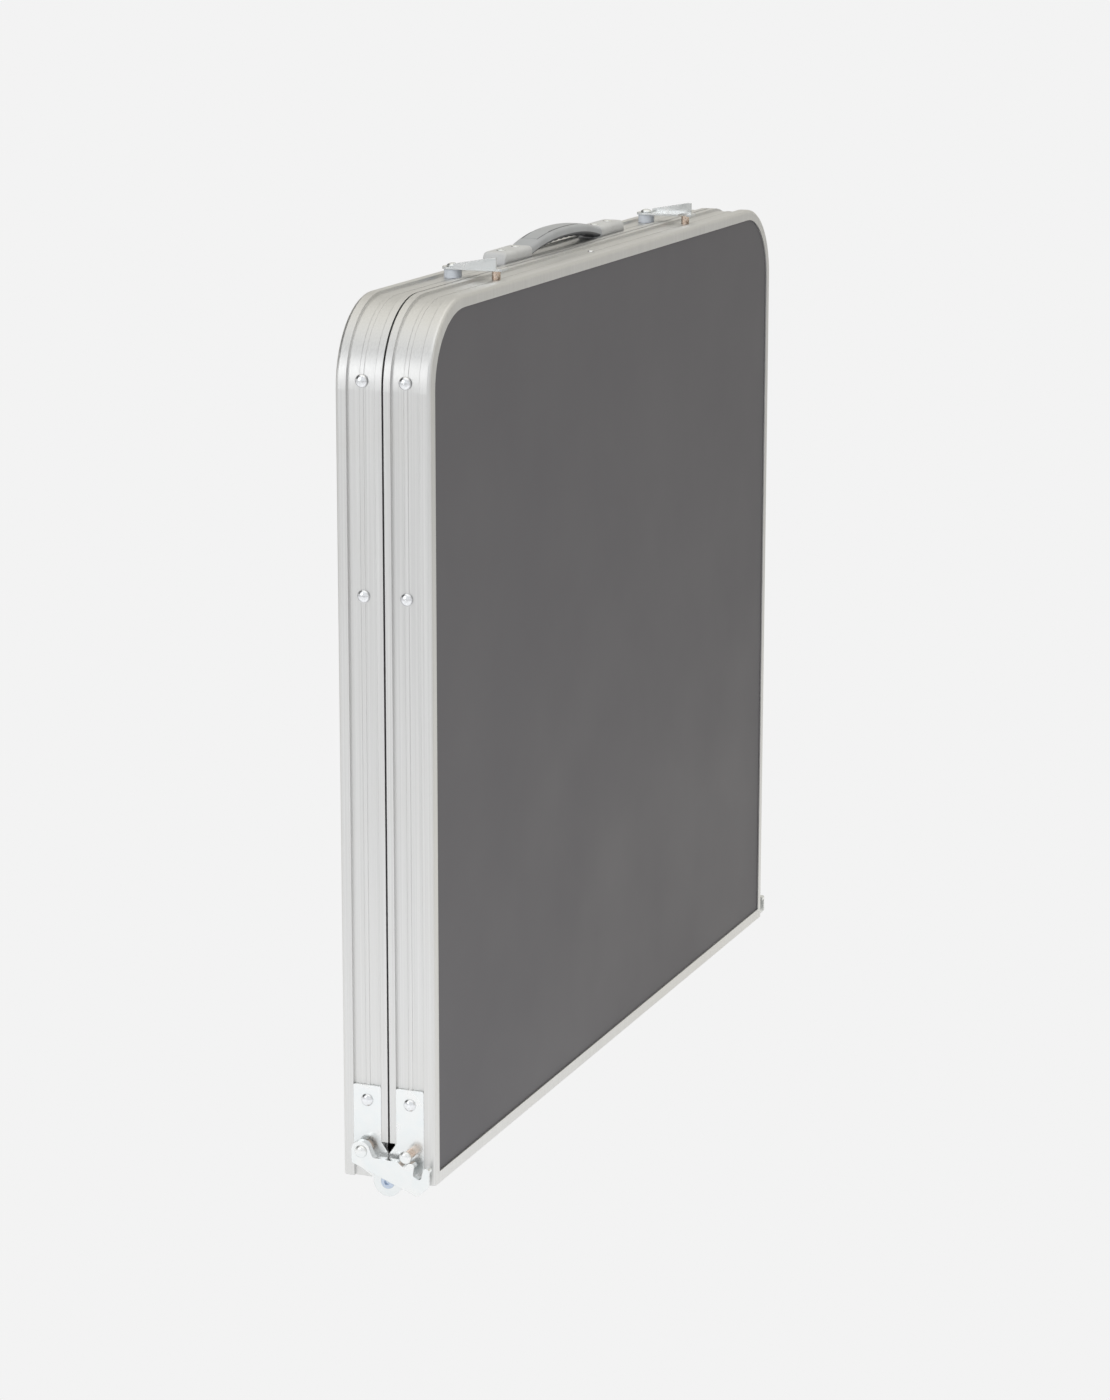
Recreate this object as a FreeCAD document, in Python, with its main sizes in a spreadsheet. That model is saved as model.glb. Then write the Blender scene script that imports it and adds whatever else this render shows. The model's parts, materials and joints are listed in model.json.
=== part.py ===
"""Folding aluminium table that closes into a flat case, as a parametric document.

Two identical trays (a bent U rail, a straight fold rail and a panel each) are
hinged edge to edge.  Stored, they stand on the fold edge with their hollow
sides together, and the legs, stays and clips lie inside.

Frame: +Z up, +X along the fold line, the front tray on the -Y side and the
rear tray on the +Y side.  The origin is centred under the hinge lobes.
Millimetres throughout.  Every driving size is a cell of the sheet "Sizes".
"""
import FreeCAD, Part

import os

import Sketcher

from types import SimpleNamespace

from FreeCAD import Placement, Rotation, Vector

DRIVING_SIZES = [
    ("table_width", 700.0, "length of the fold line, over both side rails"),
    ("tray_length", 600.0, "hinge axis to the far edge of one tray"),
    ("tray_depth", 34.0, "closing plane to the outer face of one tray"),
    ("closing_gap", 0.65, "each tray's distance from the closing plane"),
    ("corner_radius", 58.0, "outside radius of the far corners"),
    ("lobe_radius", 10.5, "round ends of the hinge plates"),
    ("edge_gap", 0.4, "frame edge to hinge axis"),
    ("rail_wall", 1.8, "web of the rail, under its recess"),
    ("recess_depth", 2.0, "recess that runs along the middle of the rail"),
    ("band_inner", 4.85, "raised band beside the closing plane"),
    ("band_outer", 8.0, "raised band and rounded edge beside the panel"),
    ("rib_width", 3.0, "low rib along the middle of the recess"),
    ("rib_height", 0.25, "low rib above the recess"),
    ("lip_width", 8.0, "how far the rail reaches over the panel"),
    ("lip_wall", 1.2, "lip that laps the panel, and the ledge behind it"),
    ("edge_radius", 2.5, "rounded outer edge of the rail"),
    ("panel_thickness", 3.0, "tray panel"),
    ("panel_play", 0.1, "panel to the sides of its slot"),
    ("plate_thickness", 2.0, "hinge plate"),
    ("plate_reach", 66.5, "hinge axis to the far end of a hinge plate"),
    ("plate_width", 20.5, "hinge plate across the recess"),
    ("plate_corner", 1.0, "rounded far corners of a hinge plate"),
    ("plate_rivet_reach", 56.0, "hinge axis to the rivet of a hinge plate"),
    ("layer_gap", 0.3, "sheet pieces that slide past each other"),
    ("run_play", 0.05, "pins in the holes they turn in, on the radius"),
    ("rivet_radius", 2.5, "shank of the small rivets"),
    ("rivet_head", 4.45, "head of the rivets"),
    ("rivet_rise", 2.4, "height of the domed rivet heads"),
    ("hinge_rivet_head", 5.0, "flatter head of the hinge rivets"),
    ("hinge_rivet_rise", 1.6, "height of the hinge rivets' flatter heads"),
    ("hinge_rivet_bore", 2.0, "hollow of the hinge rivets' heads"),
    ("flat_head", 4.5, "flat heads and washers inside the table"),
    ("flat_head_rise", 1.0, "thickness of the flat heads"),
    ("sliding_gap", 0.1, "heads, washers and sleeves beside the pieces that turn"),
    ("lock_across", 16.5, "closing plane to lever pivot and lock pin"),
    ("lock_up", 22.0, "hinge axis to lever pivot and lock pin"),
    ("lever_stand", 8.0, "hinge plate to the back of the lever"),
    ("lever_thickness", 1.6, "lock lever"),
    ("lever_reach", 50.0, "lever pivot to the tip of the lever"),
    ("pivot_across", 15.5, "closing plane to leg pivots and stay anchors"),
    ("leg_pivot_rise", 6.0, "leg pivots above the start of the corner bend"),
    ("stay_span", 143.0, "leg pivots to the stay anchors"),
    ("rear_leg_inset", 28.5, "side of the table to the rear legs' axis"),
    ("front_leg_inset", 58.5, "side of the table to the front legs' axis"),
    ("leg_radius", 11.0, "outside of the leg tubes"),
    ("tube_wall", 1.2, "wall of the leg tubes"),
    ("leg_length", 340.0, "leg pivot to the end of the outer leg tube"),
    ("sleeve_gap", 1.4, "sleeve of a leg pivot to the rail's web"),
    ("sleeve_wall", 2.0, "wall of the sleeves on the leg pivots"),
    ("leg_gap", 0.6, "leg to the sleeve of its pivot and to the stay pin"),
    ("leg_pin_radius", 3.0, "pins that the legs turn on"),
    ("leg_play", 0.6, "extension tube in the leg tube, on the radius"),
    ("ferrule_radius", 12.3, "collars and feet of the legs"),
    ("ferrule_length", 26.0, "collar at the end of the leg tube"),
    ("collar_reach", 6.0, "collar past the end of the leg tube"),
    ("foot_length", 15.0, "rubber foot below the collar"),
    ("crossbar_drop", 215.0, "leg pivot to the bar between two legs"),
    ("crossbar_radius", 7.0, "bar between two legs"),
    ("stay_offset", 2.2, "rail's web to the outer links of the stays"),
    ("stay_gap", 1.6, "outer links to inner links"),
    ("stay_thickness", 2.0, "links of the folding stays"),
    ("stay_width", 13.0, "links of the folding stays"),
    ("stay_pin_radius", 3.0, "pin at the leg end of a stay"),
    ("clip_drop", 290.0, "leg pivot to the middle of the leg clips"),
    ("clip_length", 24.0, "leg clip along the leg"),
    ("clip_play", 0.4, "leg in its clip, on the radius"),
    ("clip_wall", 2.6, "arms of the leg clips"),
    ("handle_length", 240.0, "carrying handle along the top rail"),
    ("handle_width", 19.0, "carrying handle across the top rail"),
    ("block_length", 50.0, "end block of the handle"),
    ("block_corner", 4.0, "rounded ends of the handle's end blocks"),
    ("block_height", 9.5, "end block above the recess"),
    ("arch_height", 16.5, "crown of the grip above the recess"),
    ("grip_thickness", 9.0, "strap of the grip"),
    ("latch_inset", 157.0, "side of the table to the latches"),
    ("latch_across", 16.0, "closing plane to latch pivot and pin"),
    ("latch_stand", 6.2, "recess to the underside of the latch strip"),
    ("latch_thickness", 1.6, "latch strip"),
    ("latch_width", 14.0, "latch strip"),
    ("latch_lead", 2.7, "end of the latch's flange past its pin"),
    ("latch_flange", 7.6, "finger flange of the latch above the strip"),
    ("post_radius", 6.2, "spacer bush under the latch"),
    ("catch_pin_radius", 3.0, "pins of the levers and latches"),
    ("bracket_leg", 24.0, "legs of the corner brackets"),
    ("bracket_width", 7.0, "width of the corner brackets"),
]

doc = FreeCAD.newDocument("folding_table")
sheet = doc.addObject("Spreadsheet::Sheet", "Sizes")


class Size:
    """A length known both as a number and as a spreadsheet expression."""

    def __init__(self, value, text=None):
        self.value = float(value)
        self.text = text or "(%r)" % float(value)

    def joined(self, other, sign, value):
        return Size(value, "(%s %s %s)" % (self.text, sign, as_size(other).text))

    def __add__(self, other):
        return self.joined(other, "+", self.value + as_size(other).value)

    def __sub__(self, other):
        return self.joined(other, "-", self.value - as_size(other).value)

    def __mul__(self, factor):
        return self.joined(factor, "*", self.value * as_size(factor).value)

    def __truediv__(self, divisor):
        return self.joined(divisor, "/", self.value / as_size(divisor).value)

    def __neg__(self):
        return self * -1


def as_size(number):
    return number if isinstance(number, Size) else Size(number)


def fill_sheet():
    """Writes the driving sizes and returns them as Size values by alias."""
    named = {}
    for row, (alias, value, meaning) in enumerate(DRIVING_SIZES, start=1):
        sheet.set("A%d" % row, alias)
        sheet.set("B%d" % row, str(value))
        sheet.set("C%d" % row, meaning)
        sheet.setAlias("B%d" % row, alias)
        named[alias] = Size(value, "Sizes." + alias)
    doc.recompute()
    return named


# ---------------------------------------------------------------- helpers

AXES = {"X": Vector(1, 0, 0), "Y": Vector(0, 1, 0), "Z": Vector(0, 0, 1)}
PLANES = {"X": "YZ_Plane", "Y": "XZ_Plane", "Z": "XY_Plane"}
SUBPARTS = []


def bind(item, path, size):
    """Ties one property of a document object to the sheet."""
    item.setExpression(path, as_size(size).text)


def place(item, point, rotation=None):
    """Places an object with its base bound to the sheet."""
    values = [as_size(coordinate) for coordinate in point]
    base = Vector(*[size.value for size in values])
    item.Placement = Placement(base, rotation or Rotation())
    for letter, size in zip("xyz", values):
        bind(item, "Placement.Base." + letter, size)


def box(name, low, high):
    """Box between two corners."""
    item = doc.addObject("Part::Box", name)
    for side, start, end in zip(("Length", "Width", "Height"), low, high):
        size = as_size(end) - start
        setattr(item, side, size.value)
        bind(item, side, size)
    place(item, low)
    return item


def rod(name, axis, start, length, radius):
    """Solid cylinder from a start point along +axis."""
    item = doc.addObject("Part::Cylinder", name)
    for path, size in (("Radius", radius), ("Height", length)):
        setattr(item, path, as_size(size).value)
        bind(item, path, size)
    place(item, start, Rotation(AXES["Z"], AXES[axis]))
    return item


def fuse(name, pieces):
    item = doc.addObject("Part::MultiFuse", name)
    item.Shapes = pieces
    return item


def cut(name, base, tools):
    """Base with every tool taken away."""
    for count, tool in enumerate(tools):
        item = doc.addObject("Part::Cut", "%s_cut%d" % (name, count))
        item.Base, item.Tool = base, tool
        base = item
    return base


def common(name, one, two):
    item = doc.addObject("Part::MultiCommon", name)
    item.Shapes = [one, two]
    return item


def mirror(name, source, axis):
    """The source reflected in the plane through the origin across an axis."""
    item = doc.addObject("Part::Mirroring", name)
    item.Source, item.Normal = source, AXES[axis]
    return item


def group(name, pieces):
    item = doc.addObject("Part::Compound", name)
    item.Links = pieces
    return item


def both_ends(name, source):
    """A piece of the +X end together with its twin of the -X end."""
    return group(name, [source, mirror(name + "_twin", source, "X")])


def subpart(node, item):
    item.Label = node
    SUBPARTS.append(item)
    return item


def outline(body, name, axis, points, offset):
    """Closed polygon sketch on a plane across an axis, every corner bound.

    Across X a point is (y, z), across Y it is (x, z) and across Z (x, y).
    """
    sketch = body.newObject("Sketcher::SketchObject", name)
    plane = [f for f in body.Origin.OriginFeatures if f.Role == PLANES[axis]][0]
    sketch.AttachmentSupport = [(plane, "")]
    sketch.MapMode = "FlatFace"
    shift = -as_size(offset) if axis == "Y" else as_size(offset)
    sketch.AttachmentOffset = Placement(Vector(0, 0, shift.value), Rotation())
    bind(sketch, "AttachmentOffset.Base.z", shift)
    corners = [(as_size(u), as_size(v)) for u, v in points]
    for (u1, v1), (u2, v2) in zip(corners, corners[1:] + corners[:1]):
        ends = Vector(u1.value, v1.value, 0), Vector(u2.value, v2.value, 0)
        sketch.addGeometry(Part.LineSegment(*ends), False)
    for index in range(len(corners)):
        follower = (index + 1) % len(corners)
        sketch.addConstraint(Sketcher.Constraint("Coincident", index, 2, follower, 1))
    for index, (u, v) in enumerate(corners):
        for kind, size in (("DistanceX", u), ("DistanceY", v)):
            made = Sketcher.Constraint(kind, -1, 1, index, 1, size.value)
            number = sketch.addConstraint(made)
            label = "%s%d" % (kind[-1].lower(), index)
            sketch.renameConstraint(number, label)
            bind(sketch, "Constraints." + label, size)
    return sketch


def upright_edges(shape, axis, corners):
    """Names of the straight edges along an axis through the given corners."""
    names = []
    flat = {"X": (1, 2), "Y": (0, 2), "Z": (0, 1)}[axis]
    for number, edge in enumerate(shape.Edges, start=1):
        ends = [vertex.Point for vertex in edge.Vertexes]
        if len(ends) < 2 or (ends[1] - ends[0]).cross(AXES[axis]).Length > 1e-6:
            continue
        for u, v in corners:
            if abs(ends[0][flat[0]] - u) + abs(ends[0][flat[1]] - v) < 1e-4:
                names.append("Edge%d" % number)
    return names


def prism(name, axis, points, start, length, rounded=()):
    """Polygon extruded along +axis; rounded lists (radius, point numbers)."""
    body = doc.addObject("PartDesign::Body", name)
    end = as_size(start) + length
    sketch = outline(body, name + "_outline", axis, points, end if axis == "Y" else start)
    pad = body.newObject("PartDesign::Pad", name + "_pad")
    pad.Profile = sketch
    pad.Length = as_size(length).value
    bind(pad, "Length", length)
    doc.recompute()
    for count, (radius, numbers) in enumerate(rounded):
        corners = [[as_size(c).value for c in points[number]] for number in numbers]
        solid = body.Tip
        fillet = body.newObject("PartDesign::Fillet", "%s_round%d" % (name, count))
        fillet.Base = (solid, upright_edges(solid.Shape, axis, corners))
        fillet.Radius = as_size(radius).value
        bind(fillet, "Radius", radius)
        doc.recompute()
    return body


def dome(name, axis, seat, radius, rise):
    """Low dome, like a rivet's head, that stands on a seat and faces +axis."""
    item = doc.addObject("Part::Ellipsoid", name)
    item.Angle1 = 0
    for path, length in (("Radius1", rise), ("Radius2", radius), ("Radius3", radius)):
        setattr(item, path, as_size(length).value)
        bind(item, path, length)
    place(item, seat, Rotation(AXES["Z"], AXES[axis]))
    return item


def rivet(name, axis, start, length, shank, head, rise, hollow=0.0):
    """Shank along +axis with a domed head on its far end."""
    values = {"X": 0, "Y": 1, "Z": 2}
    seat = list(start)
    seat[values[axis]] = as_size(start[values[axis]]) + length
    stem = rod(name + "_shank", axis, start, length, shank)
    cap = dome(name + "_head", axis, seat, head, rise)
    whole = fuse(name, [stem, cap])
    if hollow:
        mouth = list(seat)
        bore = rod(name + "_mouth", axis, mouth, as_size(rise) + 1.0, hollow)
        whole = cut(name, whole, [bore])
    return whole


# ---------------------------------------------------- sizes worked out once

size = SimpleNamespace(**fill_sheet())

half_width = size.table_width / 2
hinge_z = size.lobe_radius
low = hinge_z + size.edge_gap
far = hinge_z + size.tray_length
floor = low + size.rail_wall

web_out = half_width - size.recess_depth
seat_out = web_out + size.rib_height
web_in = web_out - size.rail_wall
lip_edge = half_width - size.lip_width
recess_low = size.closing_gap + size.band_inner
recess_high = size.tray_depth - size.band_outer
recess_mid = (recess_low + recess_high) / 2
recess_top = far - size.recess_depth
seat_top = recess_top + size.rib_height

slot_out = size.tray_depth - size.lip_wall
slot_in = slot_out - size.panel_thickness - size.panel_play * 2
ledge_in = slot_in - size.lip_wall
panel_back = slot_in + size.panel_play

plate_in = web_out + size.layer_gap
plate_out = plate_in + size.plate_thickness
knuckle_in = plate_out + size.layer_gap
knuckle_out = knuckle_in + size.plate_thickness
lever_back = plate_out + size.lever_stand
lever_front = lever_back + size.lever_thickness
lock_z = hinge_z + size.lock_up
plate_neck = hinge_z + size.plate_width + 6.5

leg_pivot_z = far - size.corner_radius + size.leg_pivot_rise
anchor_z = leg_pivot_z - size.stay_span
stay_reach = size.stay_span / 2 ** 0.5
elbow_z = anchor_z - stay_reach
rail_link_out = web_in - size.stay_offset
rail_link_in = rail_link_out - size.stay_thickness
leg_link_out = rail_link_in - size.stay_gap
leg_link_in = leg_link_out - size.stay_thickness
knuckle_half = size.leg_radius * 0.75

strip_low = seat_top + size.latch_stand
strip_top = strip_low + size.latch_thickness
latch_x = half_width - size.latch_inset


def through(name, y, z, radius):
    """Drill along X through both ends of the table."""
    return rod(name, "X", (-half_width - 20, y, z), size.table_width + 40, radius)


# ------------------------------------------------------------ tray frame

def rail_profile():
    """Section of the side rail at the +X end, as (x, y) corners."""
    rib_low = recess_mid - size.rib_width / 2
    rib_high = recess_mid + size.rib_width / 2
    rib_x = web_out + size.rib_height
    radius = size.edge_radius
    turn = [(1.0, 0.0), (0.75 ** 0.5, 0.5), (0.5, 0.75 ** 0.5), (0.0, 1.0)]
    rounded = [(half_width - radius + radius * c, size.tray_depth - radius + radius * s) for c, s in turn]
    return [
        (half_width, size.closing_gap), (half_width, recess_low), (web_out, recess_low),
        (web_out, rib_low), (rib_x, rib_low), (rib_x, rib_high), (web_out, rib_high),
        (web_out, recess_high), (half_width, recess_high), *rounded,
        (lip_edge, size.tray_depth), (lip_edge, slot_out), (web_in, slot_out),
        (web_in, slot_in), (lip_edge, slot_in), (lip_edge, ledge_in),
        (web_in, ledge_in), (web_in, size.closing_gap),
    ]


def rail_path(body, name):
    """U-shaped centre line up one side, across the far edge and down again."""
    sketch = body.newObject("Sketcher::SketchObject", name)
    plane = [f for f in body.Origin.OriginFeatures if f.Role == PLANES["Y"]][0]
    sketch.AttachmentSupport = [(plane, "")]
    sketch.MapMode = "FlatFace"
    radius = size.corner_radius
    shoulder, bend = far - radius, half_width - radius
    corners = [(half_width, low), (half_width, shoulder), (bend, far), (-bend, far),
               (-half_width, shoulder), (-half_width, low)]
    flat = [Vector(x.value, z.value, 0) for x, z in corners]
    for index in range(0, 6, 2):
        sketch.addGeometry(Part.LineSegment(flat[index], flat[index + 1]), False)
    for side, start, end in ((1, 1, 2), (-1, 3, 4)):
        centre = Vector(side * bend.value, shoulder.value, 0)
        slant = radius.value / 2 ** 0.5
        middle = centre + Vector(side * slant, slant, 0)
        sketch.addGeometry(Part.Arc(flat[start], middle, flat[end]), False)
    for index, (x, z) in enumerate(corners):
        line, end = index // 2, index % 2 + 1
        for kind, value in (("DistanceX", x), ("DistanceY", z)):
            number = sketch.addConstraint(Sketcher.Constraint(kind, -1, 1, line, end, value.value))
            label = "%s%d" % (kind[-1].lower(), index)
            sketch.renameConstraint(number, label)
            bind(sketch, "Constraints." + label, value)
    for arc, first, second in ((3, 0, 1), (4, 1, 2)):
        ends = [sketch.getPoint(arc, point) for point in (1, 2)]
        swapped = (ends[0] - flat[first * 2 + 1]).Length > 1e-6
        start, end = (2, 1) if swapped else (1, 2)
        sketch.addConstraint(Sketcher.Constraint("Coincident", first, 2, arc, start))
        sketch.addConstraint(Sketcher.Constraint("Coincident", second, 1, arc, end))
        number = sketch.addConstraint(Sketcher.Constraint("Radius", arc, radius.value))
        sketch.renameConstraint(number, "bend%d" % arc)
        bind(sketch, "Constraints.bend%d" % arc, radius)
    return sketch


def side_rail():
    """Bent U rail with its recess, lip, panel slot, hinge notches and holes."""
    body = doc.addObject("PartDesign::Body", "rail_body")
    profile = outline(body, "rail_section", "Z", rail_profile(), low)
    path = rail_path(body, "rail_path")
    pipe = body.newObject("PartDesign::AdditivePipe", "rail_sweep")
    pipe.Profile = profile
    doc.recompute()
    pipe.Spine = (path, ["Edge%d" % number for number in range(1, 6)])
    notch_top = plate_neck
    notch = box("rail_notch", (web_in - 1, 0, low - 1), (half_width + 1, recess_low, notch_top))
    holes = [
        through("rail_leg_hole", size.pivot_across, leg_pivot_z, size.leg_pin_radius),
        through("rail_anchor_hole", size.pivot_across, anchor_z, size.rivet_radius),
        through("rail_plate_hole", recess_mid, hinge_z + size.plate_rivet_reach, size.rivet_radius),
        through("rail_lock_hole", size.lock_across, lock_z, size.catch_pin_radius),
    ]
    return cut("rail", body, [both_ends("rail_notches", notch)] + holes)


def fold_rail():
    """Straight channel along the fold line, between the side rails."""
    top = low + size.lip_width
    inner_top = low + size.lip_width * 1.5
    wall = size.closing_gap + size.lip_wall
    points = [
        (size.closing_gap, low), (size.tray_depth, low), (size.tray_depth, top), (slot_out, top),
        (slot_out, floor), (slot_in, floor), (slot_in, top), (ledge_in, top), (ledge_in, floor),
        (wall, floor), (wall, inner_top), (size.closing_gap, inner_top),
    ]
    channel = prism("fold_channel", "X", points, -web_in, web_in * 2)
    relief = box("fold_relief", (lip_edge, ledge_in, low - 1),
                 (web_in + 1, size.tray_depth + 1, top + 1))
    return cut("fold", channel, [both_ends("fold_reliefs", relief)])


def panel():
    """Flat sheet held in the rails' slot, with rounded far corners."""
    inset = size.recess_depth + size.rail_wall + size.layer_gap
    edge, top, bottom = half_width - inset, far - inset, floor + size.layer_gap
    points = [(edge, bottom), (edge, top), (-edge, top), (-edge, bottom)]
    radius = size.corner_radius - inset
    return prism("sheet", "Y", points, panel_back, size.panel_thickness, [(radius, (1, 2))])


def corner_brackets():
    """L brackets that tie the fold rail to the side rails."""
    start = size.closing_gap + size.lip_wall + 1
    end = start + size.bracket_width
    upright = box("bracket_up", (web_in - size.lip_wall, start, floor),
                  (web_in, end, floor + size.bracket_leg))
    flat = box("bracket_flat", (web_in - size.bracket_leg, start, floor),
               (web_in, end, floor + size.lip_wall))
    return both_ends("brackets", fuse("bracket", [upright, flat]))


# ------------------------------------------------------ hinges and levers

def plate_points():
    """Outline of a hinge plate without its lobe, as (y, z) corners."""
    outer = recess_low + size.plate_width
    top = hinge_z + size.plate_reach
    gap = size.layer_gap
    return [
        (outer, top), (recess_low, top), (recess_low, plate_neck),
        (gap, hinge_z + size.plate_width - 1), (gap, hinge_z + gap),
        (size.lobe_radius + gap, hinge_z + gap), (outer, hinge_z + size.lobe_radius),
    ]


def lobe(name, start, length, radius):
    """Disc about the hinge axis."""
    return rod(name, "X", (start, 0, hinge_z), length, radius)


def plate_holes(name, hinge_radius):
    return [
        lobe(name + "_axis_hole", plate_in - 1, 10, hinge_radius),
        through(name + "_rivet_hole", recess_mid, hinge_z + size.plate_rivet_reach, size.rivet_radius),
        through(name + "_lock_hole", size.lock_across, lock_z, size.catch_pin_radius),
    ]


def rear_hinge_plate():
    """Flat plate whose lobe lies against the frame."""
    points, corner = plate_points(), (size.plate_corner, (0, 1))
    strip = prism("rear_plate_strip", "X", points, plate_in, size.plate_thickness, [corner])
    disc = lobe("rear_plate_lobe", plate_in, size.plate_thickness, size.lobe_radius)
    whole = fuse("rear_plate_blank", [strip, disc])
    return cut("rear_plate", whole, plate_holes("rear_plate", size.rivet_radius))


def front_hinge_plate():
    """Joggled plate whose lobe turns over the rear plate's; drawn on +Y."""
    points, corner = plate_points(), (size.plate_corner, (0, 1))
    reach = size.lobe_radius + 5.5
    clear = size.lobe_radius + 0.8
    strip = prism("front_plate_strip", "X", points, plate_in, size.plate_thickness, [corner])
    step = prism("front_plate_step", "X", points, plate_in, knuckle_out - plate_in)
    near = lobe("front_plate_near", plate_in - 1, knuckle_out - plate_in + 2, reach)
    flat = cut("front_plate_flat", strip, [lobe("front_plate_room", plate_in - 1, 4, clear)])
    room = lobe("front_step_room", plate_in - 1, knuckle_in - plate_in + 1, clear)
    joggle = cut("front_plate_joggle", common("front_plate_near_step", step, near), [room])
    disc = lobe("front_plate_lobe", knuckle_in, size.plate_thickness, size.lobe_radius)
    whole = fuse("front_plate_blank", [flat, joggle, disc])
    return cut("front_plate", whole, plate_holes("front_plate", size.rivet_radius + size.run_play))


def hinge_rivets():
    """Hollow-headed rivets that the two trays turn on."""
    reach = knuckle_out - plate_in + size.run_play * 2
    pin = rivet("hinge_rivet", "X", (plate_in, 0, hinge_z), reach, size.rivet_radius,
                size.hinge_rivet_head, size.hinge_rivet_rise, size.hinge_rivet_bore)
    return both_ends("hinge_rivets", pin)


def plate_rivets(side):
    pin = rivet(side + "_plate_rivet", "X", (web_in, recess_mid, hinge_z + size.plate_rivet_reach),
                plate_out - web_in, size.rivet_radius, size.rivet_head, size.rivet_rise)
    return both_ends(side + "_plate_rivet_pair", pin)


def lever_outline(drop=0.0):
    """Lever at rest: a pivot lobe, a seat under the lock pin and a hooked tip."""
    pin = size.lock_across * 2
    tip = size.lever_reach
    along_up = [
        (-7.2, -8.5), (-7.2, 7.0), (4.5, 7.0), (8.5, -3.6), (pin - 6.0, -4.1), (pin - 1.5, -7.6),
        (pin + 2.0, -4.0), (pin + 6.4, -4.0), (pin + 5.3, -13.0), (pin + 11.0, -15.6),
        (pin + 13.0, -6.4), (tip, -6.4), (tip, -19.5), (pin + 8.5, -27.3),
    ]
    return [(-as_size(u) + size.lock_across, lock_z + w - drop) for u, w in along_up]


LEVER_ROUNDS = [
    (6.0, (1, 2)), (3.0, (3,)), (2.0, (4, 5, 6, 7, 8, 9)),
    (1.7, (10, 11)), (3.0, (12, 13)), (1.5, (0,)),
]


def lever_edge():
    """Flange that is bent back from the lever's upper edge."""
    depth = size.lever_stand - (knuckle_out - plate_out) - size.hinge_rivet_rise - 0.4
    start = lever_back - depth
    solid = prism("lever_deep", "X", lever_outline(), start, depth, LEVER_ROUNDS)
    room = prism("lever_room", "X", lever_outline(size.lever_thickness), start - 1, depth + 1, LEVER_ROUNDS)
    below = box("lever_below", (start - 1, -60, lock_z - 50),
                (lever_back + 1, size.lock_across, lock_z - 17))
    return cut("lever_edge", solid, [room, below])


def lock_lever():
    """Sheet lever with a bent-back finger edge, at the +X end."""
    plate = prism("lever_plate", "X", lever_outline(), lever_back, size.lever_thickness, LEVER_ROUNDS)
    hole = rod("lever_hole", "X", (lever_back - 1, size.lock_across, lock_z), 5,
               size.catch_pin_radius + size.run_play)
    return cut("lever", fuse("lever_blank", [plate, lever_edge()]), [hole])


def lever_pivot_rivets():
    """Shouldered rivets that the levers turn on."""
    shoulder = rod("lever_shoulder", "X", (plate_out, size.lock_across, lock_z),
                   size.lever_stand - size.sliding_gap, size.catch_pin_radius + 1.5)
    pin = rivet("lever_rivet", "X", (web_in, size.lock_across, lock_z),
                lever_front - web_in + size.sliding_gap, size.catch_pin_radius,
                size.rivet_head, size.rivet_rise)
    return both_ends("lever_pivot_rivets", fuse("lever_pivot", [shoulder, pin]))


def lock_pins():
    """Headed pins of the front tray that the levers hook."""
    pin = rivet("lock_pin", "X", (web_in, size.lock_across, lock_z), lever_front - web_in + 0.3,
                size.catch_pin_radius, size.rivet_head, size.rivet_rise)
    return both_ends("lock_pins_rear_side", pin)


# ------------------------------------------------------------ legs and stays

def leg_pivot_rivets(side, leg_x):
    """Pins with a sleeve that holds each leg off the rail."""
    start = leg_x - knuckle_half
    pin = rivet(side + "_leg_rivet", "X", (start, size.pivot_across, leg_pivot_z), seat_out - start,
                size.leg_pin_radius, size.rivet_head, size.rivet_rise)
    sleeve_start = leg_x + size.leg_radius + size.leg_gap
    sleeve = rod(side + "_leg_sleeve", "X", (sleeve_start, size.pivot_across, leg_pivot_z),
                 web_in - size.sleeve_gap - sleeve_start, size.leg_pin_radius + size.sleeve_wall)
    return both_ends(side + "_leg_pivots", fuse(side + "_leg_pivot", [pin, sleeve]))


def upright(name, leg_x, bottom, top, radius):
    """Solid rod along a leg, between two distances below the leg pivot."""
    start = leg_pivot_z - bottom
    return rod(name, "Z", (leg_x, size.pivot_across, start), as_size(bottom) - top, radius)


def leg_tube(side, leg_x):
    top = size.leg_radius + 2
    outer = upright(side + "_leg_outer", leg_x, size.leg_length, top, size.leg_radius)
    bore = upright(side + "_leg_bore", leg_x, size.leg_length + 1, top - 1,
                   size.leg_radius - size.tube_wall)
    return both_ends(side + "_tubes", cut(side + "_tube", outer, [bore]))


def leg_cap(side, leg_x):
    """Moulded knuckle at the top of a leg, with the pivot hole."""
    stem = upright(side + "_cap_stem", leg_x, size.leg_radius + 2, 0, size.leg_radius)
    start = leg_x - knuckle_half
    knuckle = rod(side + "_cap_knuckle", "X", (start, size.pivot_across, leg_pivot_z),
                  knuckle_half * 2, size.leg_radius)
    hole = rod(side + "_cap_hole", "X", (leg_x - 20, size.pivot_across, leg_pivot_z), 40,
               size.leg_pin_radius + size.run_play)
    return both_ends(side + "_caps", cut(side + "_cap", fuse(side + "_cap_blank", [stem, knuckle]), [hole]))


def ferrule(side, leg_x):
    """Collar that guides the extension tube."""
    end = size.leg_length + size.collar_reach
    ring = upright(side + "_ferrule_ring", leg_x, end, end - size.ferrule_length, size.ferrule_radius)
    seat = upright(side + "_ferrule_seat", leg_x, size.leg_length, end - size.ferrule_length - 1,
                   size.leg_radius)
    bore_radius = size.leg_radius - size.tube_wall - size.leg_play / 2
    bore = upright(side + "_ferrule_bore", leg_x, end + 1, size.leg_length - 1, bore_radius)
    return both_ends(side + "_ferrules", cut(side + "_ferrule", ring, [seat, bore]))


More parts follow.
